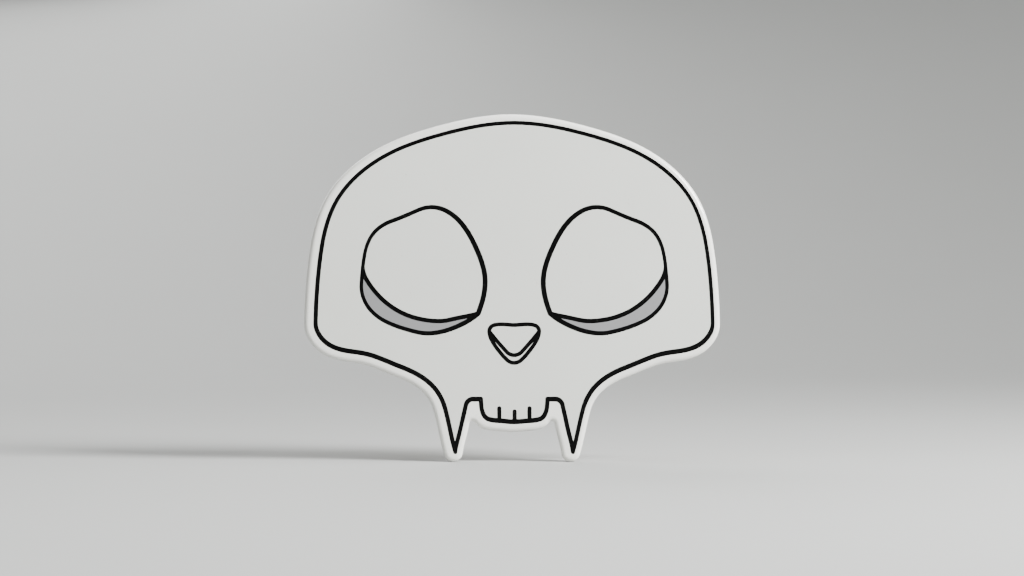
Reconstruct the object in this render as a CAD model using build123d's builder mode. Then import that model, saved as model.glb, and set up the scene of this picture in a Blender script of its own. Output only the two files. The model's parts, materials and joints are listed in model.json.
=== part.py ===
"""Enamel pin: a cat's skull, front view, on a die-struck plate with two posts and butterfly clutches.

Frame: the origin is the middle of the plate's flat back face. +X is to the right as the face is
looked at, +Z is up, and +Y runs out of the back, along the posts. All sizes are in millimetres.
"""
from build123d import *
from math import ceil
import os

# ---------------------------------------------------------------- driving dimensions
# the drawing: half sizes of the skull's outline, at the middle of the line
half_width = 18.13
half_height = 15.0
drawing_shift = 0.2        # the drawing sits a little to the right on the plate
drawing_lift = 0.05        # and a little high

# the lines of the drawing
line_width = 0.42
outline_taper = 0.05       # the outline is this much thicker below and thinner above
socket_taper = 0.07        # a socket's line is this much thicker towards the nose
nose_line_width = 0.38
tooth_line_width = 0.40

# the plate
plate_thickness = 1.5
rim_margin = 0.87          # from the middle of the outline to the plate's edge
rim_round = 0.4            # rounding of the front edge
back_round = 0.12          # rounding of the back edge
notch_round = 0.25         # rounding of the two notches beside the fangs
cell_depth = 0.4           # depth of the pocket that holds the enamel
line_sink = 0.03           # the black lines lie this much below the white

# the posts
post_spacing = 18.0
post_level = 2.0           # height of both posts above the origin
post_radius = 0.55
post_length = 8.5          # from the plate's back face to the tip
post_tip_length = 1.3
post_tip_radius = 0.12
root_round = 0.3
groove_radius = 0.38
groove_length = 0.6
pad_radius = 2.6
pad_thickness = 0.3
seat_radius = 3.2          # shallow round seat in the plate's back
seat_depth = 0.15

# the butterfly clutches
cloth_gap = 2.3            # room for cloth between the plate and a clutch
sheet = 0.3                # thickness of the clutch's metal
clutch_radius = 5.7
skirt_height = 2.3
lip_width = 0.65           # the skirt's edge, rolled over the cap
hole_radius = 0.75
funnel_radius = 1.6
funnel_height = 0.45
dimple_count = 6
dimple_ring = 3.3
dimple_radius = 0.45
dimple_height = 0.15
cap_clearance = 0.03
crown_radius = 3.3         # the raised middle of the cap
crown_rise = 0.65
cap_hole_radius = 0.9
wing_offset = 1.9          # from the post's axis to a wing's fulcrum
slot_play = 0.16           # room on each side of a wing in its slot
wing_neck = 3.0            # width of a wing in its slot
wing_width = 6.2           # width of a wing at its widest
wing_height = 3.7          # a wing's tip above the cap's crown
wing_lean = 2.3            # how far a wing's tip leans out
ear_rise = 0.2             # how much a wing's end bulges between its corners
jaw_drop = 1.05            # from the fulcrum down to the jaw
jaw_gap = 0.25             # between the two jaws
jaw_bend = 0.5
jaw_width = 3.4
post_play = 0.05           # between a jaw's notch and the post

# how finely the drawing's curves are made of arcs
arc_spacing = 3.0          # at most this long from one pair of arcs to the next
arc_turn = 32              # and turning at most this many degrees

# ---------------------------------------------------------------- places worked out from them
cell_floor = plate_thickness - cell_depth
drawing = Plane(origin=(drawing_shift, 0, drawing_lift), x_dir=(1, 0, 0), z_dir=(0, -1, 0))
crown_height = skirt_height - sheet + crown_rise
fulcrum_height = crown_height - sheet / 2
jaw_height = fulcrum_height - jaw_drop
jaw_groove = cloth_gap + jaw_height - groove_length / 2
pieces = []


def at(across, up):
    """A point of the drawing, as shares of its half width and half height."""
    return (across * half_width, up * half_height)


def arc_pair(start, leaving, end, arriving):
    """Two arcs from start to end, tangent to each other and to the directions at both ends."""
    span = end - start
    bend = 2 - 2 * leaving.dot(arriving)
    along = 2 * span.dot(leaving + arriving)
    reach = 2 * span.dot(span) / (along + (along ** 2 + 4 * bend * span.dot(span)) ** 0.5)
    middle = (start + end + (leaving - arriving) * reach) / 2
    TangentArc(start, middle, tangent=leaving)
    TangentArc(middle, end, tangent=-arriving, tangent_from_first=False)


def drawn(smooth):
    """Draws a smooth curve as pairs of tangent arcs."""
    turn = sum((smooth % (i / 20)).get_angle(smooth % ((i + 1) / 20)) for i in range(20))
    count = ceil(max(smooth.length / arc_spacing, turn / arc_turn))
    for i in range(count):
        start, end = i / count, (i + 1) / count
        arc_pair(smooth @ start, smooth % start, smooth @ end, smooth % end)
    return smooth


def curve(*points, ends):
    """Draws a curve through points, with the directions it starts and ends in."""
    return drawn(Spline(*points, tangents=ends, tangent_scalars=(1, 1), mode=Mode.PRIVATE))


def finish(name, builder):
    """Labels a finished piece and keeps it for export."""
    builder.part.label = name
    pieces.append(builder)


# ---------------------------------------------------------------- the drawing
# the skull's outline: the right half from the crown to the teeth, then its mirror image
with BuildSketch() as skull:
    with BuildLine() as half_outline:
        dome = curve(
            at(0, 1), at(0.375, 0.926), at(0.652, 0.798), at(0.892, 0.53), at(0.981, 0.135), at(1, -0.215),
            ends=[(1, 0), (0.02, -1)],
        )
        cheek = curve(dome @ 1, at(0.94, -0.343), at(0.764, -0.401), ends=[(0.02, -1), (-1, -0.18)])
        jaw = curve(
            cheek @ 1, at(0.596, -0.472), at(0.468, -0.544), at(0.378, -0.652), at(0.335, -0.80), at(0.296, -1),
            ends=[(-1, -0.18), (-0.3, -1)],
        )
        fang = curve(jaw @ 1, at(0.266, -0.843), at(0.245, -0.735), at(0.212, -0.681),
                      ends=[(-0.15, 1), (-1, 0.15)])
        gum = Line(fang @ 1, at(0.168, -0.681))
        incisors = curve(gum @ 1, at(0.161, -0.753), at(0.14, -0.797), at(0.082, -0.812), at(0, -0.819),
                          ends=[(-0.05, -1), (-1, 0)])
        mirror(about=Plane.YZ)
    make_face()

# the right eye socket: its upper edge, its lower edge, and the fold that cuts off the shaded floor
with BuildSketch() as socket:
    with BuildLine():
        brow = curve(
            at(0.184, -0.16), at(0.149, 0.065), at(0.198, 0.25), at(0.3, 0.43), at(0.428, 0.491),
            at(0.545, 0.436), at(0.688, 0.36), at(0.746, 0.245), at(0.764, 0.125),
            ends=[(-0.4, 1), (0.1, -1)],
        )
        floor = curve(
            brow @ 1, at(0.773, 0.0), at(0.722, -0.143), at(0.541, -0.255), at(0.437, -0.281),
            at(0.338, -0.26), brow @ 0,
            ends=[(0.1, -1), (-1, 0.85)],
        )
    make_face()
with BuildSketch() as eyeball:
    with BuildLine():
        drawn(brow)
        fold = curve(
            brow @ 1, at(0.72, 0.005), at(0.64, -0.097), at(0.538, -0.169), at(0.435, -0.2),
            at(0.337, -0.2), at(0.26, -0.176), brow @ 0,
            ends=[(-0.1, -1), (-1, 0.25)],
        )
    make_face()

# the nose: a rounded triangle, and a second one behind it that shows as a rim along its two sides
with BuildSketch() as nose_back:
    with BuildLine():
        bridge = curve(at(0, -0.2286), at(0.085, -0.2255), at(0.122, -0.2473), at(0.1255, -0.268),
                        ends=[(1, 0), (-0.05, -1)])
        curve(bridge @ 1, at(0.109, -0.33), at(0.0741, -0.3893), at(0.0385, -0.4375), at(0, -0.459),
              ends=[(-0.05, -1), (-1, 0)])
        mirror(about=Plane.YZ)
    make_face()
with BuildSketch() as nose_front:
    with BuildLine():
        drawn(bridge)
        curve(bridge @ 1, at(0.0925, -0.3165), at(0.0572, -0.3653), at(0.0345, -0.3905), at(0, -0.4118),
              ends=[(-1, -1.25), (-1, 0)])
        mirror(about=Plane.YZ)
    make_face()

# the three strokes between the front teeth: place across, top
tooth_strokes = [(-0.075, -0.735), (0.002, -0.755), (0.077, -0.735)]
tooth_stroke_end = -0.84


# ---------------------------------------------------------------- bands and cells cut from the drawing
def grown(sketch, amount):
    """The face inside an outline of the drawing, grown or, below zero, shrunk."""
    with BuildSketch() as wide:
        add(sketch.sketch_local)
        offset(amount=amount)
    return wide.sketch_local.faces()[0]


def slid(face, across, up):
    """A face of the drawing, slid sideways and upwards."""
    return face.moved(Location((across, up, 0)))


skull_outside = grown(skull, line_width / 2)
skull_inside = slid(grown(skull, -line_width / 2), 0, outline_taper)
socket_outside = slid(grown(socket, line_width / 2), -socket_taper, 0)
socket_inside = grown(socket, -line_width / 2)
eyeball_outside = grown(eyeball, line_width / 2)
eyeball_inside = grown(eyeball, -line_width / 2)
nose_outside = grown(nose_back, nose_line_width / 2)
nose_inside = grown(nose_back, -nose_line_width / 2)
nose_front_outside = grown(nose_front, nose_line_width / 2)
nose_front_inside = grown(nose_front, -nose_line_width / 2)


def raise_cell(face, plane, height, mode=Mode.ADD):
    """Raises a face of the drawing into the piece being built, or cuts it away. Its curves stay apart."""
    extrude(plane.from_local_coords(face), amount=height, dir=plane.z_dir, clean=False, mode=mode)


# ---------------------------------------------------------------- plate
back_plane = Plane.XZ
floor_plane = drawing.offset(cell_floor)
line_height = cell_depth - line_sink

with BuildSketch() as plate_outline:
    add(skull.sketch_local)
    offset(amount=rim_margin + notch_round)
    offset(amount=-notch_round)

with BuildPart() as base_plate:
    raise_cell(plate_outline.sketch_local.faces()[0], back_plane, plate_thickness)
    fillet(base_plate.faces().sort_by(Axis.Y)[0].outer_wire().edges(), rim_round)
    fillet(base_plate.faces().sort_by(Axis.Y)[-1].outer_wire().edges(), back_round)
    raise_cell(skull_outside, floor_plane, cell_depth, Mode.SUBTRACT)
    with BuildSketch(back_plane):
        with Locations((-post_spacing / 2, post_level), (post_spacing / 2, post_level)):
            Circle(seat_radius)
    extrude(amount=seat_depth, clean=False, mode=Mode.SUBTRACT)
finish("base_plate", base_plate)

# ---------------------------------------------------------------- enamel
with BuildSketch(floor_plane) as strokes:
    for across, up in tooth_strokes:
        top = Vector(*at(across, up))
        bottom = Vector(*at(across, tooth_stroke_end))
        with Locations(top):
            Circle(tooth_line_width / 2)
        with Locations((top + bottom) / 2):
            Rectangle(tooth_line_width, (top - bottom).Y)

with BuildPart() as tooth_lines:
    extrude(strokes.sketch, amount=line_height)
    raise_cell(skull_inside, floor_plane, line_height, Mode.INTERSECT)
finish("tooth_lines", tooth_lines)

with BuildPart() as outline_line:
    raise_cell(skull_outside, floor_plane, line_height)
    raise_cell(skull_inside, floor_plane, line_height, Mode.SUBTRACT)
finish("outline_line", outline_line)

with BuildPart() as face_enamel:
    raise_cell(skull_inside, floor_plane, cell_depth)
    for cell in (socket_outside, socket_outside.mirror(Plane.YZ), nose_outside):
        raise_cell(cell, floor_plane, cell_depth, Mode.SUBTRACT)
    extrude(strokes.sketch, amount=cell_depth, clean=False, mode=Mode.SUBTRACT)
finish("face_enamel", face_enamel)


def framed_cell(name, outside, inside, front_outside, front_inside, shade_name):
    """A cell of the face: a front fill, a crescent of shade that shows below it, and the line round both."""
    with BuildPart() as fill:
        raise_cell(front_inside, floor_plane, cell_depth)
    finish(f"{name}_enamel", fill)
    with BuildPart() as shade:
        raise_cell(inside, floor_plane, cell_depth)
        raise_cell(front_outside, floor_plane, cell_depth, Mode.SUBTRACT)
    finish(shade_name, shade)
    with BuildPart() as line:
        raise_cell(outside, floor_plane, line_height)
        raise_cell(front_inside, floor_plane, line_height, Mode.SUBTRACT)
        add(shade.part, clean=False, mode=Mode.SUBTRACT)
    finish(f"{name}_line", line)


eye_cells = [socket_outside, socket_inside, eyeball_outside, eyeball_inside]
framed_cell("right_eye", *eye_cells, "right_eye_shadow")
framed_cell("left_eye", *[cell.mirror(Plane.YZ) for cell in eye_cells], "left_eye_shadow")
framed_cell("nose", nose_outside, nose_inside, nose_front_outside, nose_front_inside, "nose_rim_enamel")

# ---------------------------------------------------------------- posts
pad_top = pad_thickness - seat_depth
groove_depth = post_radius - groove_radius
grooves = []
for start in (cloth_gap + 0.05, jaw_groove):
    grooves += [
        (post_radius, start),
        (groove_radius, start + groove_depth / 2),
        (groove_radius, start + groove_length - groove_depth / 2),
        (post_radius, start + groove_length),
    ]

for side, x in (("left", -post_spacing / 2), ("right", post_spacing / 2)):
    with BuildPart() as post:
        with BuildSketch(Plane(origin=(x, 0, post_level), x_dir=(1, 0, 0), z_dir=(0, 0, 1))):
            with BuildLine():
                Polyline((0, -seat_depth), (pad_radius, -seat_depth), (pad_radius, pad_top),
                         (post_radius + root_round, pad_top))
                RadiusArc((post_radius + root_round, pad_top), (post_radius, pad_top + root_round), root_round)
                Polyline((post_radius, pad_top + root_round), *grooves,
                         (post_radius, post_length - post_tip_length),
                         (post_tip_radius, post_length), (0, post_length), (0, -seat_depth))
            make_face()
        revolve(axis=Axis((x, 0, post_level), (0, 1, 0)))
    finish(f"{side}_post", post)

    with BuildPart() as solder:
        with BuildSketch(Plane(origin=(x, 0, post_level), x_dir=(1, 0, 0), z_dir=(0, 0, 1))):
            with BuildLine():
                Polyline((pad_radius, pad_top), (pad_radius, -seat_depth), (seat_radius, -seat_depth),
                         (seat_radius, 0))
                RadiusArc((seat_radius, 0), (pad_radius, pad_top), -1)
            make_face()
        revolve(axis=Axis((x, 0, post_level), (0, 1, 0)))
    finish(f"{side}_solder", solder)

# ---------------------------------------------------------------- clutches
skirt_inside = clutch_radius - sheet
cap_edge = skirt_inside - cap_clearance
flange_under = skirt_height - 2 * sheet
pan_outline = [
    (hole_radius, funnel_height), (funnel_radius, 0), (clutch_radius, 0), (clutch_radius, skirt_height),
    (clutch_radius - lip_width, skirt_height), (clutch_radius - lip_width, skirt_height - sheet),
    (skirt_inside, skirt_height - sheet), (skirt_inside, sheet), (funnel_radius + sheet / 3, sheet),
    (hole_radius, funnel_height + sheet),
]
cap_outline = [
    (cap_hole_radius, crown_height - sheet), (crown_radius, crown_height - sheet),
    (crown_radius + crown_rise, flange_under), (cap_edge, flange_under), (cap_edge, flange_under + sheet),
    (crown_radius + crown_rise + sheet / 2, flange_under + sheet), (crown_radius + sheet / 2, crown_height),
    (cap_hole_radius, crown_height),
]

# a wing seen from its side, with its height above the clutch's front as X: jaw, neck and rounded ear
wing_root = crown_height + sheet
wing_top = wing_root + wing_height
with BuildSketch() as wing_shape:
    with BuildLine():
        edge = Polyline((jaw_height - sheet, 0), (jaw_height - sheet, jaw_width / 2),
                        (crown_height - 2 * sheet, jaw_width / 2), (crown_height - sheet, wing_neck / 2),
                        (wing_root, wing_neck / 2))
        ear = curve(edge @ 1, (wing_root + 0.55 * wing_height, wing_width / 2), (wing_top, 0.28 * wing_width),
                     ends=[(0.6, 1), (0.35, -1)])
        curve(ear @ 1, (wing_top + ear_rise, 0), ends=[(0.35, -1), (0, -1)])
        mirror(about=Plane.XZ)
    make_face()

for side, x in (("left", -post_spacing / 2), ("right", post_spacing / 2)):
    centre = (x, cloth_gap, post_level)
    front = Plane(origin=centre, x_dir=(1, 0, 0), z_dir=(0, -1, 0))
    section = Plane(origin=centre, x_dir=(1, 0, 0), z_dir=(0, 0, 1))
    side_view = Plane(origin=(x - clutch_radius, cloth_gap, post_level), x_dir=(0, 1, 0), z_dir=(1, 0, 0))

    with BuildPart() as pan:
        with BuildSketch(section):
            with BuildLine():
                Polyline(*pan_outline, close=True)
            make_face()
        revolve(axis=Axis(centre, (0, 1, 0)))
        with BuildSketch(front):
            with PolarLocations(dimple_ring, dimple_count, start_angle=90):
                Circle(dimple_radius)
        extrude(amount=dimple_height, taper=45)
    finish(f"{side}_clutch_face", pan)

    with BuildPart() as cap:
        with BuildSketch(section):
            with BuildLine():
                Polyline(*cap_outline, close=True)
            make_face()
        revolve(axis=Axis(centre, (0, 1, 0)))
        with BuildSketch(front.offset(-crown_height)):
            with Locations((-wing_offset, 0), (wing_offset, 0)):
                Rectangle(sheet + 2 * slot_play, wing_neck + 2 * slot_play)
        extrude(amount=2 * sheet, mode=Mode.SUBTRACT)
    finish(f"{side}_clutch_cap", cap)

    for wing_side, way in (("left", -1), ("right", 1)):
        with BuildPart() as wing:
            with BuildLine() as bend_line:
                jaw_line = Line((way * jaw_gap / 2, jaw_height), (way * (wing_offset - jaw_bend), jaw_height))
                corner = RadiusArc(jaw_line @ 1, (way * wing_offset, jaw_height + jaw_bend), -way * jaw_bend)
                neck = Line(corner @ 1, (way * wing_offset, wing_root))
                curve(neck @ 1, (way * (wing_offset + 0.3 * wing_lean), wing_root + 0.5 * wing_height),
                       (way * (wing_offset + wing_lean), wing_root + wing_height),
                       ends=[(0, 1), (way * 0.75, 1)])
            with BuildSketch(section):
                trace(bend_line.line, line_width=sheet)
            extrude(amount=wing_width / 2, both=True)
            with BuildSketch(side_view):
                add(wing_shape.sketch_local)
            extrude(amount=2 * clutch_radius, mode=Mode.INTERSECT)
            with BuildSketch(front):
                Circle(post_radius + post_play)
            extrude(amount=-clutch_radius, mode=Mode.SUBTRACT)
        finish(f"{side}_clutch_{wing_side}_wing", wing)

# ---------------------------------------------------------------- export
os.makedirs("parts", exist_ok=True)
for piece in pieces:
    export_step(piece.part, f"parts/{piece.part.label}.step")
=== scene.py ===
"""Looks of an enamel pin in the shape of a cat's skull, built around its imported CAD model.

Lengths are in metres, in the CAD model's own frame: the enamelled face looks to -Y, the posts
run out of the back along +Y, and +Z is up. Profiles and paths are worked out in millimetres.
"""
import json
from math import radians

import bmesh
import bpy
import numpy as np
from bpy.props import FloatProperty, FloatVectorProperty, PointerProperty
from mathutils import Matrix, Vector
from mathutils.geometry import tessellate_polygon


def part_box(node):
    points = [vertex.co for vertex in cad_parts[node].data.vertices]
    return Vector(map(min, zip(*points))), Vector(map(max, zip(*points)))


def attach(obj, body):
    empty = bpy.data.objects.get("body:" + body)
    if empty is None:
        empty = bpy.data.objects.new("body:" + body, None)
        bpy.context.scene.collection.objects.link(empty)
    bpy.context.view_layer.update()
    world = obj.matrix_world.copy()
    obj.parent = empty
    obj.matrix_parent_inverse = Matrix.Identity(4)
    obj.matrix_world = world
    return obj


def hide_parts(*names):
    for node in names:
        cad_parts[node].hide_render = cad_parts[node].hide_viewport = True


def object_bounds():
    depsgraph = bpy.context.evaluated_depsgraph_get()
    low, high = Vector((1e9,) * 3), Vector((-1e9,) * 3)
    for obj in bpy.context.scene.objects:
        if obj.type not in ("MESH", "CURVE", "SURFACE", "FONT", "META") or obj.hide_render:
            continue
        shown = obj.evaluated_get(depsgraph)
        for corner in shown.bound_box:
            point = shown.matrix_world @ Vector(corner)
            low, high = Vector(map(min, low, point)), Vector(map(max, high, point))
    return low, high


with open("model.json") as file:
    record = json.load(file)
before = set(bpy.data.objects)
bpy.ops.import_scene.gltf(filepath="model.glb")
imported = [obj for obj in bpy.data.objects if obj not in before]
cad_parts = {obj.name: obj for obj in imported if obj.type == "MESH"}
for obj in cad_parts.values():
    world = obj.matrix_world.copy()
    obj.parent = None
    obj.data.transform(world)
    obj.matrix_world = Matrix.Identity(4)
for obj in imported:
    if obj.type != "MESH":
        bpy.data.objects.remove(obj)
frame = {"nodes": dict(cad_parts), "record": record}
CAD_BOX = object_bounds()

bl_info = {
    "name": "Enamel Pin",
    "version": (1, 0, 0),
    "blender": (4, 5, 0),
    "location": "3D View > Sidebar > Enamel Pin",
    "description": "Builds the looks of an enamel pin: plate, enamel, posts and butterfly clutches",
    "category": "Object",
}

MM = 0.001
SIDES = ("left", "right")
OUTLINE_POINTS = 1100
POST_POINTS = 96
SOLDER_POINTS = 180
CLUTCH_POINTS = 240
WING_POINTS = 48
DIMPLES = 6


# ---------------------------------------------------------------- settings
def length(name, description, millimetres):
    """A size setting, in metres."""
    return FloatProperty(name=name, description=description, default=millimetres * MM,
                         min=0.0, unit="LENGTH", precision=5)


def colour(name, description, value):
    """A colour setting."""
    return FloatVectorProperty(name=name, description=description, default=value,
                               min=0.0, max=1.0, size=3, subtype="COLOR")


def number(name, description, value):
    """A plain number setting."""
    return FloatProperty(name=name, description=description, default=value, min=0.0)


class PlateSettings(bpy.types.PropertyGroup):
    """Sizes and colours of the plate and its enamel."""
    edge_width: length("Edge width", "How far the front edge's rounding reaches in", 0.5)
    edge_depth: length("Edge depth", "How far the front edge's rounding reaches down", 0.42)
    back_rounding: length("Back rounding", "Radius of the back edge", 0.12)
    cell_depth: length("Cell depth", "Depth of the cell that holds the enamel", 0.4)
    coat_end: length("Coat end", "Where the white coat stops, in front of the back face", 0.22)
    white: colour("White enamel", "Colour of the skull", (0.590, 0.602, 0.562))
    rim_white: colour("White rim", "Colour of the coat on the plate's edge", (0.775, 0.775, 0.73))
    black: colour("Black enamel", "Colour of the drawn lines", (0.0018, 0.0018, 0.0018))
    grey: colour("Grey enamel", "Colour of the eye sockets' shaded floor", (0.205, 0.205, 0.209))
    metal: colour("Plate metal", "Colour of the bare back", (0.60, 0.59, 0.57))


class FindingSettings(bpy.types.PropertyGroup):
    """Sizes and colours of the posts, the solder and the clutches."""
    wire: length("Wire", "Radius of a post", 0.55)
    groove: length("Groove", "Radius of a post in its grooves", 0.385)
    pad: length("Pad", "Radius of a post's pad", 2.6)
    pad_height: length("Pad height", "Height of a pad above the back face", 0.15)
    seat: length("Seat", "Radius of the ring of solder", 3.2)
    sheet: length("Sheet", "Thickness of a clutch's metal", 0.3)
    lip: length("Lip", "Width of the lip rolled over the cap", 0.65)
    dimple_ring: length("Dimple ring", "Radius of the ring of dimples", 3.3)
    dimple_radius: length("Dimple radius", "Radius of one dimple", 0.75)
    dimple_height: length("Dimple height", "Height of a dimple", 0.15)
    skirt: length("Skirt", "Height of a clutch's face, from its front to its lip", 2.3)
    hole: length("Hole", "Radius of the hole in a clutch's front", 0.75)
    fulcrum: length("Fulcrum", "From the post's axis to the slot of a wing", 1.9)
    jaw: length("Jaw", "Half the width of a wing's jaw", 1.7)
    neck: length("Neck", "Half the width of a wing in its slot", 1.5)
    ear: length("Ear", "Half the width of a wing at its widest", 3.1)
    cup: length("Cup", "How far a wing's edges curl towards the post", 0.22)
    post_metal: colour("Post metal", "Colour of the posts", (0.62, 0.61, 0.59))
    solder: colour("Solder", "Colour of the solder", (0.47, 0.47, 0.48))
    brass: colour("Clutch metal", "Colour of the clutches", (0.72, 0.49, 0.19))


class StageSettings(bpy.types.PropertyGroup):
    """The floor, the lights and the camera."""
    floor_colour: colour("Floor", "Colour of the floor and the backdrop", (0.355, 0.36, 0.35))
    floor_radius: FloatProperty(name="Floor radius", description="Radius of the flat floor",
                                default=0.28, unit="LENGTH")
    sweep: FloatProperty(name="Sweep", description="Radius of the curve from the floor to the wall",
                         default=0.5, unit="LENGTH")
    key: number("Key light", "Power of the light at the upper right, in watts", 3.6)
    fill: number("Fill light", "Power of the light at the left, in watts", 0.2)
    top: number("Top light", "Power of the overhead light, in watts", 1.9)
    back: number("Back light", "Power of the light behind the pin, in watts", 2.4)
    air: number("Air", "Strength of the even light from all sides", 0.22)
    distance: FloatProperty(name="Camera distance", description="From the camera to the plate",
                            default=0.30, unit="LENGTH")
    lens: FloatProperty(name="Lens", description="Focal length in millimetres", default=115.0)


# ---------------------------------------------------------------- meshes
def quads(count_u, count_v, close_u=False, close_v=False):
    """The quads of a grid of points, row by row, wrapped round in either direction."""
    u = np.arange(count_u if close_u else count_u - 1)
    v = np.arange(count_v if close_v else count_v - 1)
    u, v = np.meshgrid(u, v, indexing="ij")
    u1, v1 = (u + 1) % count_u, (v + 1) % count_v
    corners = [u * count_v + v, u1 * count_v + v, u1 * count_v + v1, u * count_v + v1]
    return np.stack([corner.ravel() for corner in corners], axis=1)


def make_piece(name, points, faces, material, body, nodes, sharp=35):
    """A finished piece: doubles merged, faces outward, smooth below the sharp angle, put under its
    body's empty, with the CAD nodes it replaces hidden.
    """
    mesh = bpy.data.meshes.new(name)
    mesh.from_pydata(points.reshape(-1, 3).tolist(), [], [face.tolist() for face in faces])
    work = bmesh.new()
    work.from_mesh(mesh)
    bmesh.ops.remove_doubles(work, verts=work.verts, dist=2e-7)
    bmesh.ops.dissolve_degenerate(work, edges=work.edges, dist=1e-7)
    bmesh.ops.recalc_face_normals(work, faces=work.faces)
    work.to_mesh(mesh)
    work.free()
    mesh.shade_smooth()
    mesh.set_sharp_from_angle(angle=radians(sharp))
    mesh.materials.append(material)
    piece = bpy.data.objects.new(name, mesh)
    bpy.context.scene.collection.objects.link(piece)
    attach(piece, body)
    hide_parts(*nodes)
    return piece


def rounded(corners, radii, steps=8):
    """A polyline with its corners rounded.

    Each corner becomes a quadratic curve whose handles lie a radius before and after the corner.
    """
    corners = np.asarray(corners, float)
    t = np.linspace(0, 1, steps)[:, None]
    path = []
    neighbours = zip(np.roll(corners, 1, 0), corners, np.roll(corners, -1, 0), radii)
    for before, corner, after, radius in neighbours:
        if radius == 0:
            path.append(corner[None])
            continue
        start = corner + (before - corner) * (radius / np.linalg.norm(before - corner))
        end = corner + (after - corner) * (radius / np.linalg.norm(after - corner))
        path.append((1 - t) ** 2 * start + 2 * t * (1 - t) * corner + t ** 2 * end)
    return np.concatenate(path)


def lathe(profile, centre, around):
    """A profile of (along the post, radius) in millimetres turned about a post.

    At angle a the point is centre + radius * (cos a, 0, sin a) + along * (0, 1, 0).
    """
    angle = np.linspace(0, 2 * np.pi, around, endpoint=False)[:, None]
    along, radius = profile[None, :, 0], profile[None, :, 1]
    grid = np.stack([radius * np.cos(angle), along + 0 * angle, radius * np.sin(angle)], axis=-1)
    return grid * MM + np.asarray(centre)


def flat_loops(node, level):
    """The closed edges of a CAD node's flat face at a height along Y, each as points in order.

    A triangle's edge that no second flat triangle runs back along is an edge of the face. Each one
    leads from a point to the next, and following the leads by doubling steps gives the order.
    """
    mesh = frame["nodes"][node].data
    points = np.empty(len(mesh.vertices) * 3)
    mesh.vertices.foreach_get("co", points)
    points, same = np.unique(np.round(points.reshape(-1, 3), 8), axis=0, return_inverse=True)
    corners = np.empty(len(mesh.polygons) * 3, int)
    mesh.polygons.foreach_get("vertices", corners)
    triangles = same.ravel()[corners].reshape(-1, 3)
    triangles = triangles[(np.abs(points[triangles][..., 1] - level) < 2e-7).all(axis=1)]
    edges = np.concatenate([triangles[:, [0, 1]], triangles[:, [1, 2]], triangles[:, [2, 0]]])
    total = len(points)
    forward, backward = edges[:, 0] * total + edges[:, 1], edges[:, 1] * total + edges[:, 0]
    edges = edges[~np.isin(forward, backward)]
    following = np.arange(total)
    following[edges[:, 0]] = edges[:, 1]
    left, loops = set(edges[:, 0].tolist()), []
    while left:
        order, jump = np.array([min(left)]), following
        while len(order) < total:
            order, jump = np.concatenate([order, jump[order]]), jump[jump]
        again = np.flatnonzero(order[1:] == order[0])
        order = order[:again[0] + 1] if len(again) else order
        left -= set(order.tolist())
        loops.append(points[order])
    return sorted(loops, key=lambda loop: -np.ptp(loop[:, 0]))


def measured(loop):
    """A loop of points closed on its first point, and how far along it each point lies."""
    closed = np.vstack([loop, loop[:1]])
    steps = np.linalg.norm(np.diff(closed, axis=0), axis=1)
    return closed, np.concatenate([[0], np.cumsum(steps)])


def picked(closed, reach, places):
    """The points of a measured loop at given distances along it."""
    axes = [np.interp(places, reach, axis) for axis in closed.T]
    return np.stack(axes, axis=1)


def even(loop, count):
    """A closed loop of points respaced evenly along its length."""
    closed, reach = measured(loop)
    return picked(closed, reach, np.linspace(0, reach[-1], count, endpoint=False))


def closer(loop, gap):
    """A closed loop without doubled points, with points added at every gap along it."""
    steps = np.diff(measured(loop)[1])
    closed, reach = measured(loop[np.concatenate([[True], steps[:-1] > 1e-6])])
    places = np.concatenate([reach, np.arange(0, reach[-1], gap)])
    return picked(closed, reach, np.unique(np.round(places, 4))[:-1])


def outward(loop):
    """The directions square to a closed loop in the XZ plane that point away from its inside."""
    ahead = np.roll(loop, -1, 0) - np.roll(loop, 1, 0)
    area = np.sum(loop[:, 0] * np.roll(loop[:, 2], -1) - np.roll(loop[:, 0], -1) * loop[:, 2])
    normal = np.stack([ahead[:, 2], 0 * ahead[:, 0], -ahead[:, 0]], axis=1) * np.sign(area)
    return normal / np.linalg.norm(normal, axis=1, keepdims=True)


def flat_fill(loops):
    """The points of all the loops, and triangles that fill the first loop outside the others."""
    points = np.concatenate(loops)
    outlines = [(loop[:, [0, 2, 1]] * (1, 1, 0)).tolist() for loop in loops]
    return points, np.array(tessellate_polygon(outlines))


# ---------------------------------------------------------------- materials
class Link:
    """A shader socket that takes part in arithmetic: every operator adds a Math node."""

    def __init__(self, shader, socket):
        self.shader = shader
        self.socket = socket

    def maths(self, operation, first, second=0.0):
        """A Math node on two links or numbers."""
        return self.shader.node("ShaderNodeMath", {"operation": operation}, {0: first, 1: second})

    def __add__(self, other):
        return self.maths("ADD", self, other)

    __radd__ = __add__

    def __sub__(self, other):
        return self.maths("SUBTRACT", self, other)

    def __rsub__(self, other):
        return self.maths("SUBTRACT", other, self)

    def __mul__(self, other):
        return self.maths("MULTIPLY", self, other)

    __rmul__ = __mul__


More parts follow.
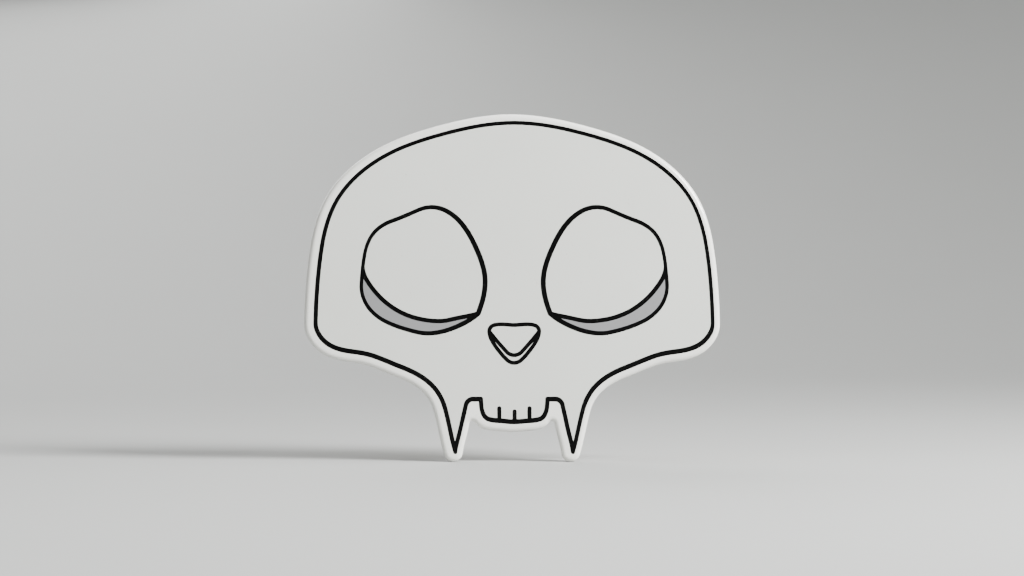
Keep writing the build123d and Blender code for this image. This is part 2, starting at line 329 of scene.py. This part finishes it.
class Finish:
    """A material being built."""

    def __init__(self, name):
        self.material = bpy.data.materials.new(name)
        self.material.use_nodes = True
        self.tree = self.material.node_tree
        self.tree.nodes.clear()
        self.place = self.node("ShaderNodeTexCoord", output="Object")

    def node(self, kind, settings=(), sockets=(), output=0):
        """Adds a node: its settings first, then the values or links of its sockets."""
        node = self.tree.nodes.new(kind)
        for key, value in dict(settings).items():
            setattr(node, key, value)
        for key, value in dict(sockets).items():
            if isinstance(value, Link):
                self.tree.links.new(value.socket, node.inputs[key])
            else:
                node.inputs[key].default_value = value
        return Link(self, node.outputs[output])

    def noise(self, size, detail=2.0, stretch=(1, 1, 1), shift=0.0):
        """Cloudy noise from 0 to 1 with features about this many millimetres across."""
        place = self.node("ShaderNodeMapping", {}, {"Vector": self.place, "Scale": stretch,
                                                    "Location": (shift, 0, 0)})
        return self.node("ShaderNodeTexNoise", {}, {"Vector": place, "Scale": 1 / (size * MM),
                                                    "Detail": detail})

    def ramp(self, value, low, high):
        """0 below low and 1 above high, with a smooth step between."""
        return self.node("ShaderNodeMapRange", {"interpolation_type": "SMOOTHSTEP"},
                         {"Value": value, "From Min": low, "From Max": high})

    def mix(self, share, first, second):
        """A colour between two colours."""
        sockets = {0: share, 6: self.rgba(first), 7: self.rgba(second)}
        return self.node("ShaderNodeMix", {"data_type": "RGBA"}, sockets, output=2)

    def rgba(self, value):
        """A colour as a mix takes it."""
        return value if isinstance(value, Link) else (*value[:3], 1.0)

    def axis(self, name):
        """One coordinate of the place, in metres."""
        return self.node("ShaderNodeSeparateXYZ", {}, {0: self.place}, output=name)

    def bump(self, height, depth, strength=1.0):
        """A bump of this many millimetres."""
        return self.node("ShaderNodeBump", {}, {"Height": height, "Distance": depth * MM,
                                                "Strength": strength})

    def surface(self, sockets):
        """The Principled surface, and the material's output."""
        shader = self.node("ShaderNodeBsdfPrincipled", {}, sockets)
        out = self.tree.nodes.new("ShaderNodeOutputMaterial")
        self.tree.links.new(shader.socket, out.inputs["Surface"])
        return self.material


def shade(value, factor):
    """A colour made lighter or darker."""
    return tuple(min(1.0, part * factor) for part in value)


def enamel(name, value, gloss=0.13, spread=0.045, dust=0.45, shine=0.5, coat=0.5):
    """Hard enamel, ground flat and polished: faint clouds, pinholes, haze and a little dust."""
    finish = Finish(name)
    clouds = finish.noise(9.0, 3.0)
    haze = finish.noise(1.6, 4.0, shift=0.3)
    grain = finish.noise(0.09, 2.0, shift=0.7)
    specks = finish.ramp(finish.noise(0.19, 1.0, shift=1.1), 0.73, 0.78)
    scratches = finish.ramp(finish.noise(0.5, 3.0, stretch=(1, 1, 14), shift=2.0), 0.66, 0.72)
    speck = shade(value, 0.55) if value[0] > 0.1 else (0.08, 0.08, 0.078)
    base = finish.mix(clouds, shade(value, 1 - spread), shade(value, 1 + spread))
    base = finish.mix(specks * dust, base, speck)
    height = grain * 0.25 + haze * 0.6 - specks * 0.8 - scratches * 0.25
    return finish.surface({
        "Base Color": base,
        "Roughness": gloss + 0.10 * haze + 0.05 * grain + 0.05 * scratches,
        "Normal": finish.bump(height, 0.009, 0.6),
        "IOR": 1.5,
        "Specular IOR Level": shine,
        "Coat Weight": coat,
        "Coat Roughness": 0.05,
    })


def plate_coat(look):
    """The plate: white coat on its front and sides, and bare stamped metal on its back."""
    finish = Finish("plate_coat")
    depth = finish.axis("Y")
    ragged = finish.noise(0.35, 3.0) * (0.08 * MM)
    end = -look.coat_end
    coat = 1 - finish.ramp(depth + ragged, end + 0.02 * MM, end + 0.07 * MM)
    clouds = finish.noise(7.0, 3.0)
    pebble = finish.noise(0.3, 2.0, shift=0.4)
    fine = finish.noise(0.07, 2.0, shift=0.9)
    tarnish = finish.ramp(finish.noise(5.0, 4.0, shift=1.7), 0.52, 0.78)
    metal = finish.mix(clouds, shade(look.metal, 0.90), shade(look.metal, 1.07))
    metal = finish.mix(tarnish * 0.45, metal, (0.36, 0.31, 0.25))
    metal = finish.mix(finish.ramp(pebble, 0.4, 0.62) * 0.5, metal, shade(look.metal, 0.55))
    white = finish.mix(clouds, shade(look.rim_white, 0.97), shade(look.rim_white, 1.03))
    coat_rough = 0.17 + 0.10 * fine
    metal_rough = 0.30 + 0.22 * pebble + 0.12 * tarnish
    height = coat * (fine * 0.06) + (1 - coat) * (pebble + fine * 0.3)
    return finish.surface({
        "Base Color": finish.mix(coat, metal, white),
        "Metallic": 1 - coat,
        "Roughness": coat * coat_rough + (1 - coat) * metal_rough,
        "Normal": finish.bump(height, 0.06, 0.9),
        "IOR": 1.5,
        "Coat Weight": coat * 0.7,
        "Coat Roughness": 0.04,
    })


def turned_metal(name, value, ring=0.14):
    """Plated wire, turned: rings round the post, fine scratches and slight tarnish."""
    finish = Finish(name)
    rings = finish.noise(ring, 3.0, stretch=(0.05, 1, 0.05))
    clouds = finish.noise(2.5, 3.0, shift=0.5)
    scratches = finish.ramp(finish.noise(0.2, 2.0, stretch=(1, 0.1, 1), shift=1.5), 0.62, 0.72)
    base = finish.mix(clouds, shade(value, 0.86), shade(value, 1.1))
    return finish.surface({
        "Base Color": finish.mix(scratches * 0.3, base, shade(value, 0.6)),
        "Metallic": 1.0,
        "Roughness": 0.20 + 0.16 * rings + 0.08 * clouds,
        "Normal": finish.bump(rings + scratches * 0.5, 0.012, 0.8),
    })


def solder_metal(name, value):
    """Solder: dull, frosted where it cooled last, with brown flux in places."""
    finish = Finish(name)
    frost = finish.noise(0.5, 4.0)
    grain = finish.noise(0.12, 2.0, shift=0.6)
    flux = finish.ramp(finish.noise(1.4, 3.0, shift=1.9), 0.56, 0.72)
    base = finish.mix(frost, shade(value, 0.8), shade(value, 1.2))
    return finish.surface({
        "Base Color": finish.mix(flux * 0.55, base, (0.23, 0.16, 0.08)),
        "Metallic": 1 - flux * 0.5,
        "Roughness": 0.30 + 0.25 * frost + 0.08 * grain,
        "Normal": finish.bump(frost + grain * 0.35, 0.05, 0.9),
    })


def sheet_metal(name, value):
    """Stamped sheet: drawn grain along Z, die marks, small dents, darker tarnish in patches."""
    finish = Finish(name)
    brushed = finish.noise(0.12, 3.0, stretch=(1, 1, 0.08))
    dents = finish.noise(1.1, 2.0, shift=0.4)
    clouds = finish.noise(3.2, 4.0, shift=1.2)
    tarnish = finish.ramp(finish.noise(2.1, 4.0, shift=2.3), 0.55, 0.75)
    base = finish.mix(clouds, shade(value, 0.86), shade(value, 1.12))
    base = finish.mix(tarnish * 0.4, base, (0.36, 0.20, 0.08))
    return finish.surface({
        "Base Color": base,
        "Metallic": 1.0,
        "Roughness": 0.20 + 0.10 * brushed + 0.07 * clouds + 0.10 * tarnish,
        "Normal": finish.bump(brushed * 0.4 + dents, 0.02, 0.6),
    })


# ---------------------------------------------------------------- pieces
class PIN_OT_plate(bpy.types.Operator):
    """Makes the plate: a rounded edge carried along its outline, a flat rim and a flat back"""
    bl_idname = "pin.plate"
    bl_label = "Plate"

    def execute(self, context):
        """Carries a profile along the plate's outline.

        The profile is a quarter of a super-ellipse from the rim to the side, the straight side,
        and a quarter circle to the back. A point of it lies at the outline - inset * outward, at
        its own Y. Flat fills close the rim, the back and the floor of the enamel's cell.
        """
        look = context.scene.pin_plate
        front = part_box("base_plate")[0][1]
        path = even(flat_loops("base_plate", 0.0)[0], OUTLINE_POINTS)
        away = outward(path)
        path = path + away * look.back_rounding
        front_turn, back_turn = np.linspace(0, np.pi / 2, 14), np.linspace(0, np.pi / 2, 6)
        inset = np.concatenate([look.edge_width * (1 - np.sin(front_turn) ** 0.9),
                                look.back_rounding * (1 - np.cos(back_turn))])
        depth = np.concatenate([front + look.edge_depth * (1 - np.cos(front_turn) ** 0.9),
                                look.back_rounding * (np.sin(back_turn) - 1)])
        edge = path[:, None] * (1, 0, 1) - away[:, None] * inset[None, :, None]
        edge[..., 1] = depth
        cell = flat_loops("base_plate", front)[1]
        cell_floor = cell + (0, look.cell_depth, 0)
        wall = np.stack([cell, cell_floor], axis=1)
        surfaces = [
            (edge.reshape(-1, 3), quads(*edge.shape[:2], close_u=True)),
            flat_fill([edge[:, 0], cell]),
            flat_fill([edge[:, -1]]),
            flat_fill([cell_floor]),
            (wall.reshape(-1, 3), quads(*wall.shape[:2], close_u=True)),
        ]
        starts = np.cumsum([0] + [len(points) for points, _ in surfaces])
        points = np.concatenate([points for points, _ in surfaces])
        faces = [face for start, (_, group) in zip(starts, surfaces) for face in group + start]
        make_piece("plate", points, faces, plate_coat(look), "pin", ["base_plate"])
        return {"FINISHED"}


class PIN_OT_enamel(bpy.types.Operator):
    """Gives the enamel fills and the drawn lines their finishes"""
    bl_idname = "pin.enamel"
    bl_label = "Enamel"

    def execute(self, context):
        look = context.scene.pin_plate
        finishes = {
            "enamel_white": enamel("white_enamel", look.white),
            "enamel_grey": enamel("grey_enamel", look.grey, gloss=0.16),
            "enamel_black": enamel("black_enamel", look.black, gloss=0.16, spread=0.2, dust=0.25,
                                   shine=0.07, coat=0.0),
        }
        for entry in frame["record"]["subparts"]:
            if entry["material_slot"] in finishes:
                mesh = frame["nodes"][entry["node"]].data
                mesh.materials.clear()
                mesh.materials.append(finishes[entry["material_slot"]])
        return {"FINISHED"}


def post_centre(side):
    """The point of a post's axis on the plate's back face."""
    low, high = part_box(f"{side}_post")
    return np.array([(low[0] + high[0]) / 2, 0.0, (low[2] + high[2]) / 2])


class PIN_OT_posts(bpy.types.Operator):
    """Makes the posts, with their pads, grooves and points, and the solder round the pads"""
    bl_idname = "pin.posts"
    bl_label = "Posts and solder"

    def execute(self, context):
        look = context.scene.pin_findings
        wire = turned_metal("post_metal", look.post_metal)
        joint = solder_metal("solder_metal", look.solder)
        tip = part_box("left_post")[1][1] / MM
        thick, thin = look.wire / MM, look.groove / MM
        pad, top = look.pad / MM, look.pad_height / MM
        corners = [(-top, 0), (-top, pad), (top, pad), (top, thick)]
        for groove in (2.38, 3.48):
            corners += [(groove, thick), (groove + 0.14, thin), (groove + 0.4, thin),
                        (groove + 0.54, thick)]
        corners += [(tip - 1.35, thick), (tip - 0.1, 0.13), (tip, 0)]
        profile = rounded(corners, [0, 0, 0.08, 0.3] + [0.06] * 8 + [0.5, 0.09, 0])
        for side in SIDES:
            centre = post_centre(side)
            grid = lathe(profile, centre, POST_POINTS)
            make_piece(f"{side}_post_wire", grid, quads(*grid.shape[:2], close_u=True), wire,
                       "pin", [f"{side}_post"], sharp=50)
            self.solder(side, centre, look.seat / MM, joint)
        return {"FINISHED"}

    def solder(self, side, centre, seat, material):
        """A ring of solder round a pad.

        At angle a and share t across the ring, its radius runs from the seat's in by 0.75 and its
        height follows a sagging quarter wave, both swayed by three sines of a so that no two rings
        match.
        """
        phase = 0.0 if side == "left" else 2.1
        a = np.linspace(0, 2 * np.pi, SOLDER_POINTS, endpoint=False)[:, None]
        t = np.linspace(0, 1, 16)[None]
        sway = (0.5 * np.sin(2 * a + phase) + 0.3 * np.sin(5 * a + 2 * phase)
                + 0.2 * np.sin(9 * a + 1 + phase))
        radius = seat + 0.16 * sway * (1 - t) - 0.75 * t
        height = (0.19 + 0.03 * sway) * np.sin(t * np.pi / 2) ** 1.5 - 0.02 * (1 - t)
        top = np.stack([radius * np.cos(a), height, radius * np.sin(a)], axis=-1)
        under = np.stack([radius * np.cos(a), height * 0 - 0.1, radius * np.sin(a)], axis=-1)
        ring = np.concatenate([top, under[:, ::-1]], axis=1) * MM + centre
        faces = quads(*ring.shape[:2], close_u=True, close_v=True)
        make_piece(f"{side}_solder_ring", ring, faces, material, "pin",
                   [f"{side}_solder"], sharp=60)


class PIN_OT_clutches(bpy.types.Operator):
    """Makes the clutches' faces, with dimples and a rolled lip, and finishes their caps"""
    bl_idname = "pin.clutches"
    bl_label = "Clutches"

    def execute(self, context):
        """Turns the face's section, then raises the dimples.

        A dimple lifts a point of the front by height * (1 - (d / radius)^2)^2, with d its distance
        from the dimple's middle.
        """
        look = context.scene.pin_findings
        brass = sheet_metal("clutch_metal", look.brass)
        sheet, lip = look.sheet / MM, look.lip / MM
        tall, hole = look.skirt / MM, look.hole / MM
        for side in SIDES:
            low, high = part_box(f"{side}_clutch_face")
            centre = np.array([(low[0] + high[0]) / 2, high[1], (low[2] + high[2]) / 2])
            rim = (high[0] - low[0]) / 2 / MM
            corners = [(-tall + 0.45, hole), (-tall, 1.6), (-tall, rim), (0, rim), (0, rim - lip),
                       (-sheet, rim - lip), (-sheet, rim - sheet), (sheet - tall, rim - sheet),
                       (sheet - tall, 1.75), (-tall + 0.72, hole)]
            radii = [0.05, 0.35, 0.5, 0.3, 0.14, 0.1, 0.05, 0.15, 0.3, 0.05]
            section = closer(rounded(corners, radii, 10), 0.12)
            grid = lathe(section, centre, CLUTCH_POINTS)
            away = grid - centre
            for spot in np.pi / 2 + 2 * np.pi * np.arange(DIMPLES) / DIMPLES:
                middle = np.array([np.cos(spot), 0, np.sin(spot)]) * look.dimple_ring
                gap = np.linalg.norm((away - middle) * (1, 0, 1), axis=-1) / look.dimple_radius
                lift = look.dimple_height * np.clip(1 - gap ** 2, 0, 1) ** 2
                grid[..., 1] -= lift * (away[..., 1] < -(tall - 0.8) * MM)
            faces = quads(*grid.shape[:2], close_u=True, close_v=True)
            make_piece(f"{side}_clutch_shell", grid, faces, brass, f"{side}_clutch",
                       [f"{side}_clutch_face"])
            cap = frame["nodes"][f"{side}_clutch_cap"].data
            cap.materials.clear()
            cap.materials.append(brass)
        return {"FINISHED"}


class PIN_OT_wings(bpy.types.Operator):
    """Makes the clutches' wings: bent strips with rounded ears"""
    bl_idname = "pin.wings"
    bl_label = "Wings"

    def execute(self, context):
        look = context.scene.pin_findings
        metal = sheet_metal("wing_metal", shade(look.brass, 0.97))
        for side in SIDES:
            for wing_side, way in (("left", -1), ("right", 1)):
                self.wing(side, wing_side, way, look, metal)
        return {"FINISHED"}

    def wing(self, side, wing_side, way, look, metal):
        """A flat oval carried along a bent line.

        The line runs from the jaw outwards, bends up through the slot and leans out as a cubic
        curve. Its half width goes from the jaw's to the neck's, swells by a smooth step to the
        ear's and closes as a super-ellipse. The ear's edges curl towards the post by
        cup * (share across)^2.
        """
        node = f"{side}_clutch_{wing_side}_wing"
        low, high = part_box(node)
        centre = post_centre(side)
        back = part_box(f"{side}_clutch_face")[1][1] / MM
        fulcrum, jaw, root = look.fulcrum / MM, back - 0.85, back + 0.65
        inner_end, bend = 0.58, 0.5
        reach = (high[0] - centre[0] if way > 0 else centre[0] - low[0]) / MM - 0.1
        top = high[1] / MM - 0.16
        s = np.linspace(0, 1, 14)[:, None]
        flat = np.array([inner_end, jaw]) * (1 - s) + np.array([fulcrum - bend, jaw]) * s
        turn = s[1:] * np.pi / 2
        corner = np.concatenate([fulcrum - bend + bend * np.sin(turn),
                                 jaw + bend - bend * np.cos(turn)], axis=1)
        neck = np.array([fulcrum, jaw + bend]) * (1 - s[1:]) + np.array([fulcrum, root]) * s[1:]
        h = np.sin(np.linspace(0, np.pi / 2, 56)[1:, None])
        knots = np.array([[fulcrum, root], [fulcrum, root + 1.35], [reach - 1.0, root + 2.4],
                          [reach, top]])
        ear = ((1 - h) ** 3 * knots[0] + 3 * h * (1 - h) ** 2 * knots[1]
               + 3 * h ** 2 * (1 - h) * knots[2] + h ** 3 * knots[3])
        line = np.concatenate([flat, corner, neck, ear])
        ahead = np.gradient(line, axis=0)
        ahead /= np.linalg.norm(ahead, axis=1, keepdims=True)
        square = np.stack([-ahead[:, 1], ahead[:, 0]], axis=1)
        jaw_width, neck_width, ear_width = look.jaw / MM, look.neck / MM, look.ear / MM
        swell = np.clip(h[:, 0] / 0.5, 0, 1)
        close = (1 - np.clip((h[:, 0] - 0.5) / 0.5, 0, 1) ** 2.6) ** 0.42
        ear_widths = (neck_width + (ear_width - neck_width) * swell ** 2 * (3 - 2 * swell)) * close
        width = np.concatenate([np.full(len(flat) + len(corner), jaw_width),
                                np.linspace(jaw_width, neck_width, len(neck)), ear_widths])
        thick = look.sheet / MM / 2
        phi = np.linspace(0, 2 * np.pi, WING_POINTS, endpoint=False)[None]
        flatness = np.clip(1.35 * np.cos(phi), -1, 1)
        across = np.maximum(width[:, None] - thick, 0.001) * flatness + thick * np.cos(phi)
        through = thick * np.sign(np.sin(phi)) * np.abs(np.sin(phi)) ** 0.5
        share = np.concatenate([np.zeros(len(line) - len(ear)), h[:, 0]])[:, None]
        through = through + (look.cup / MM) * share * (across / ear_width) ** 2
        x = line[:, :1] + square[:, :1] * through
        y = line[:, 1:] + square[:, 1:] * through
        grid = np.stack([way * x, y, across + 0 * x], axis=-1) * MM + centre
        tips = np.repeat(grid[[0, -1]].mean(axis=1, keepdims=True), grid.shape[1], axis=1)
        grid = np.concatenate([tips[:1], grid, tips[1:]], axis=0)
        make_piece(f"{node}_strip", grid, quads(*grid.shape[:2], close_v=True), metal, node,
                   [node])


# ---------------------------------------------------------------- stage
class PIN_OT_stage(bpy.types.Operator):
    """Makes the pale floor and backdrop, the soft lights and the camera"""
    bl_idname = "pin.stage"
    bl_label = "Stage"

    def execute(self, context):
        """Turns the backdrop's profile about Z: a flat floor, a quarter circle and a wall."""
        look = context.scene.pin_stage
        low, high = CAD_BOX
        turn = np.linspace(0, np.pi / 2, 24)
        reach, sweep = look.floor_radius, look.sweep
        across = np.concatenate([np.linspace(0, reach, 12), reach + sweep * np.sin(turn),
                                 np.full(4, reach + sweep)])
        up = np.concatenate([np.zeros(12), sweep * (1 - np.cos(turn)),
                             sweep * np.linspace(1.2, 2, 4)])
        angle = np.linspace(0, 2 * np.pi, 96, endpoint=False)[:, None]
        grid = np.stack([across * np.cos(angle), across * np.sin(angle), low[2] + up + 0 * angle],
                        axis=-1)
        mesh = bpy.data.meshes.new("backdrop")
        faces = quads(*grid.shape[:2], close_u=True)
        mesh.from_pydata(grid.reshape(-1, 3).tolist(), [], faces.tolist())
        work = bmesh.new()
        work.from_mesh(mesh)
        bmesh.ops.remove_doubles(work, verts=work.verts, dist=1e-6)
        work.to_mesh(mesh)
        work.free()
        mesh.shade_smooth()
        finish = Finish("backdrop_paper")
        tint = finish.mix(finish.noise(30.0, 3.0), shade(look.floor_colour, 0.985),
                          shade(look.floor_colour, 1.015))
        mesh.materials.append(finish.surface({"Base Color": tint, "Roughness": 0.9}))
        floor = bpy.data.objects.new("backdrop", mesh)
        context.scene.collection.objects.link(floor)
        self.light("key", look.key, 0.13, (0.21, -0.13, 0.14))
        self.light("fill", look.fill, 0.34, (-0.36, -0.30, 0.10))
        self.light("top", look.top, 0.50, (0.0, 0.0, 0.62))
        self.light("back", look.back, 0.40, (-0.18, 0.42, 0.26))
        world = bpy.data.worlds.new("studio")
        world.use_nodes = True
        background = world.node_tree.nodes["Background"].inputs
        background["Color"].default_value = (0.98, 0.99, 1.0, 1.0)
        background["Strength"].default_value = look.air
        context.scene.world = world
        camera = bpy.data.cameras.new("camera")
        camera.lens = look.lens
        camera.clip_start = 0.01
        viewer = bpy.data.objects.new("camera", camera)
        viewer.location = (0.0, -look.distance, (low[2] + high[2]) / 2)
        viewer.rotation_euler = (radians(90), 0, 0)
        context.scene.collection.objects.link(viewer)
        context.scene.camera = viewer
        return {"FINISHED"}

    def light(self, name, power, size, place):
        """A square soft light that looks at the pin."""
        lamp = bpy.data.lights.new(name, "AREA")
        lamp.energy = power
        lamp.size = size
        holder = bpy.data.objects.new(name, lamp)
        holder.location = place
        holder.rotation_euler = (-Vector(place)).to_track_quat("-Z", "Y").to_euler()
        bpy.context.scene.collection.objects.link(holder)


class PIN_PT_panel(bpy.types.Panel):
    """Lists the pin's settings and the steps that build it"""
    bl_label = "Enamel Pin"
    bl_idname = "PIN_PT_panel"
    bl_space_type = "VIEW_3D"
    bl_region_type = "UI"
    bl_category = "Enamel Pin"

    def draw(self, context):
        """Shows every setting, then a button for every step."""
        for group in (context.scene.pin_plate, context.scene.pin_findings, context.scene.pin_stage):
            for name in group.__annotations__:
                self.layout.prop(group, name)
        for step in STEPS:
            self.layout.operator(step.bl_idname)


SETTINGS = {"pin_plate": PlateSettings, "pin_findings": FindingSettings, "pin_stage": StageSettings}
STEPS = (PIN_OT_plate, PIN_OT_enamel, PIN_OT_posts, PIN_OT_clutches, PIN_OT_wings, PIN_OT_stage)


def register():
    """Registers the settings, the steps and the panel, and gives the scene its settings."""
    for group in SETTINGS.values():
        bpy.utils.register_class(group)
    for step in (*STEPS, PIN_PT_panel):
        bpy.utils.register_class(step)
    for name, group in SETTINGS.items():
        setattr(bpy.types.Scene, name, PointerProperty(type=group))


def unregister():
    """Takes back all that register does, in the reverse order."""
    for name in SETTINGS:
        delattr(bpy.types.Scene, name)
    for kind in (PIN_PT_panel, *reversed(STEPS), *SETTINGS.values()):
        bpy.utils.unregister_class(kind)


def main():
    """Builds everything."""
    register()
    bpy.ops.pin.plate()
    bpy.ops.pin.enamel()
    bpy.ops.pin.posts()
    bpy.ops.pin.clutches()
    bpy.ops.pin.wings()
    bpy.ops.pin.stage()


if __name__ == "__main__":
    main()
